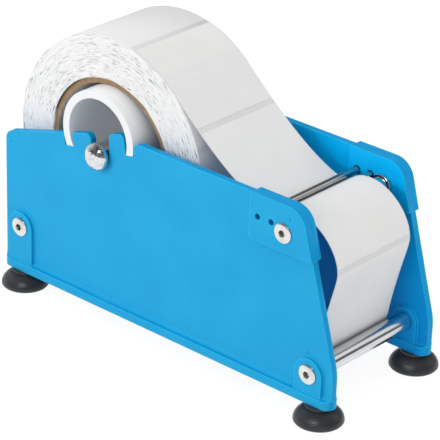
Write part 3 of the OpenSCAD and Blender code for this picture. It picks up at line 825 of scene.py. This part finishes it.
def even_steps(line, step):
    """The same line with points at even steps, and the unit normals on its outer side.

    Lengths are summed along the line, and x and z are read off at even lengths. The normal is
    the direction of travel turned a quarter turn to the left.
    """
    s = np.concatenate([[0.0], np.cumsum(np.linalg.norm(np.diff(line, axis=0), axis=1))])
    even = np.linspace(0.0, s[-1], int(s[-1] / step) + 1)
    points = np.stack([np.interp(even, s, line[:, 0]), np.interp(even, s, line[:, 1])], -1)
    travel = np.gradient(points, axis=0)
    travel /= np.linalg.norm(travel, axis=1)[:, None]
    return even, points, np.stack([-travel[:, 1], travel[:, 0]], -1)


web_s, web_points, web_normals = even_steps(web_line(), 0.5 * MM)
print("web length", round(web_s[-1] / MM, 1), "mm in", len(web_s), "steps")


# %% Give a strip its thickness
def strip_mesh(name, chosen, half_width, middle_y, low, high):
    """A closed strip that follows the web's line between two heights above it.

    chosen picks the steps of the line, half_width gives the strip's half width at each, and
    low and high its two faces. Rows run along the line. Each row goes over the top face from
    one edge to the other and back under the bottom face, and the two ends are closed. A pair
    of columns close to each edge keeps smooth shading from spreading over the whole face.
    """
    across = np.array([-1.0, -0.998, -0.99, -0.66, -0.33, 0.0, 0.33, 0.66, 0.99, 0.998, 1.0])
    columns = len(across)
    y = middle_y + half_width[:, None] * np.concatenate([across, across[::-1]])[None, :]
    height = np.concatenate([np.repeat(high[:, None], columns, 1),
                             np.repeat(low[:, None], columns, 1)], 1)
    x = web_points[chosen, 0][:, None] + height * web_normals[chosen, 0][:, None]
    z = web_points[chosen, 1][:, None] + height * web_normals[chosen, 1][:, None]
    points = np.stack([x, y, z], -1)
    ring = numbered(points)
    top, under = ring[:, :columns], ring[:, columns:-1][:, ::-1]
    first = np.stack([top[0, :-1], top[0, 1:], under[0, 1:], under[0, :-1]], -1)
    last = np.stack([top[-1, 1:], top[-1, :-1], under[-1, :-1], under[-1, 1:]], -1)
    return mesh_from(name, points.reshape(-1, 3), np.vstack([quads_of(ring), first, last]))


WEB_HALF, LABEL_THICK = 0.1 * MM, 0.06 * MM
SET_IN_OVER, SET_IN_LEAST = 4 * MM, 0.15


def set_in(s):
    """How much of a strip's thickness is there at the length s: it grows from the least share
    to all of it as t^2 (3 - 2t), with t the part of the first few millimetres that is passed,
    so that the web lies flush on the turn below it."""
    t = np.clip(s / SET_IN_OVER, 0.0, 1.0)
    return SET_IN_LEAST + (1.0 - SET_IN_LEAST) * t * t * (3 - 2 * t)


web_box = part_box("backing_web")
web_middle_y = (web_box[0].y + web_box[1].y) / 2
web_half_width = (web_box[1].y - web_box[0].y) / 2
every = np.arange(len(web_s))
web = strip_mesh("backing_paper_web", every, np.full(len(web_s), web_half_width), web_middle_y,
                 np.full(len(web_s), -WEB_HALF), WEB_HALF * (2 * set_in(web_s) - 1))
print("web faces", len(web.data.polygons))

# %% [markdown]
# Labels are die cut, so their corners are rounded. A label's half width near its end follows a
# quarter circle, which rounds both corners of that end at once. The last label is cut off with
# the web, so that its far end stays square.

# %% Lay the labels on the web
PITCH, GAP, CORNER = 56.7 * MM, 2.3 * MM, 1.5 * MM
FIRST_GAP, MARGIN, LEAST_INSET = 55.1 * MM, 0.4 * MM, 0.02 * MM
label_half = web_half_width - MARGIN


def label_strips():
    """One strip for each label: half width W - r + sqrt(r^2 - (r - d)^2) at the distance d
    from its nearer end, with r the corner's radius."""
    strips = []
    for gap in np.arange(FIRST_GAP - PITCH, web_s[-1] - GAP, PITCH):
        low, high = max(0.0, gap + GAP / 2), min(web_s[-1], gap + PITCH - GAP / 2)
        chosen = np.nonzero((web_s >= low) & (web_s <= high))[0]
        s = web_s[chosen]
        edge = s - s[0]
        if high < web_s[-1]:
            edge = np.minimum(edge, s[-1] - s)
        d = np.clip(edge, LEAST_INSET, CORNER)
        half = label_half - CORNER + np.sqrt(CORNER**2 - (CORNER - d) ** 2)
        base = WEB_HALF * (2 * set_in(s) - 1)
        strips.append(strip_mesh(f"web_label_{len(strips) + 1}", chosen, half, web_middle_y,
                                 base, base + LABEL_THICK * set_in(s)))
    return strips


labels = label_strips()
print("labels on the web:", len(labels))

# %% [markdown]
# Labels are coated paper, and the backing is glazed so that they come off it, which makes it
# shine more. Both are thin enough for the turn below to show through: where a label lies on the
# roll, the gaps of that turn appear as faint grey lines.

# %% Paper of the web and its labels
GHOST_ANGLE, GHOST_SOFT, GHOST_SHARE = 55.0, 0.8, 0.14
label_paper, tree, shader = new_finish("coated_label_paper", 0.5, Specular_IOR_Level=0.35)
uneven = use_group(tree, mottle, {"Patch Scale": 45.0, "Grain Scale": 2500.0})
polar = use_group(tree, roll_polar)
on_roll = ramp(tree, polar.outputs["Radius"], ROLL_RADIUS + 1.2 * MM, ROLL_RADIUS + 0.8 * MM)
below = gap_mask(tree, polar.outputs["Angle"], GHOST_ANGLE, GAP_HALF, GHOST_SOFT)
ghosts = maths(tree, "MULTIPLY", maths(tree, "MULTIPLY", on_roll, below), GHOST_SHARE)
paper = blend_colours(tree, uneven.outputs["Patches"], rgb(234, 234, 233), rgb(238, 238, 237))
drive(tree, shader, "Base Color", blend_colours(tree, ghosts, paper, BACKING_GREY))
drive_roughness(tree, shader, uneven.outputs["Patches"], 0.48, 0.56)
bump(tree, shader, uneven.outputs["Grain"], 0.02 * MM)

backing_paper, tree, shader = new_finish("glazed_backing_paper", 0.36, Specular_IOR_Level=0.4)
uneven = use_group(tree, mottle, {"Patch Scale": 60.0, "Grain Scale": 2500.0})
drive(tree, shader, "Base Color", blend_colours(tree, uneven.outputs["Patches"],
                                                rgb(222, 222, 223), rgb(226, 226, 227)))
drive_roughness(tree, shader, uneven.outputs["Patches"], 0.34, 0.42)
bump(tree, shader, uneven.outputs["Grain"], 0.01 * MM)

papers = [(web, backing_paper, "backing_paper")]
papers += [(label, label_paper, "label_paper") for label in labels]
for piece, finish, name in papers:
    piece.data.materials.append(finish)
    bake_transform(piece)
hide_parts("backing_web")
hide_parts("web_labels")
print("web dressed")
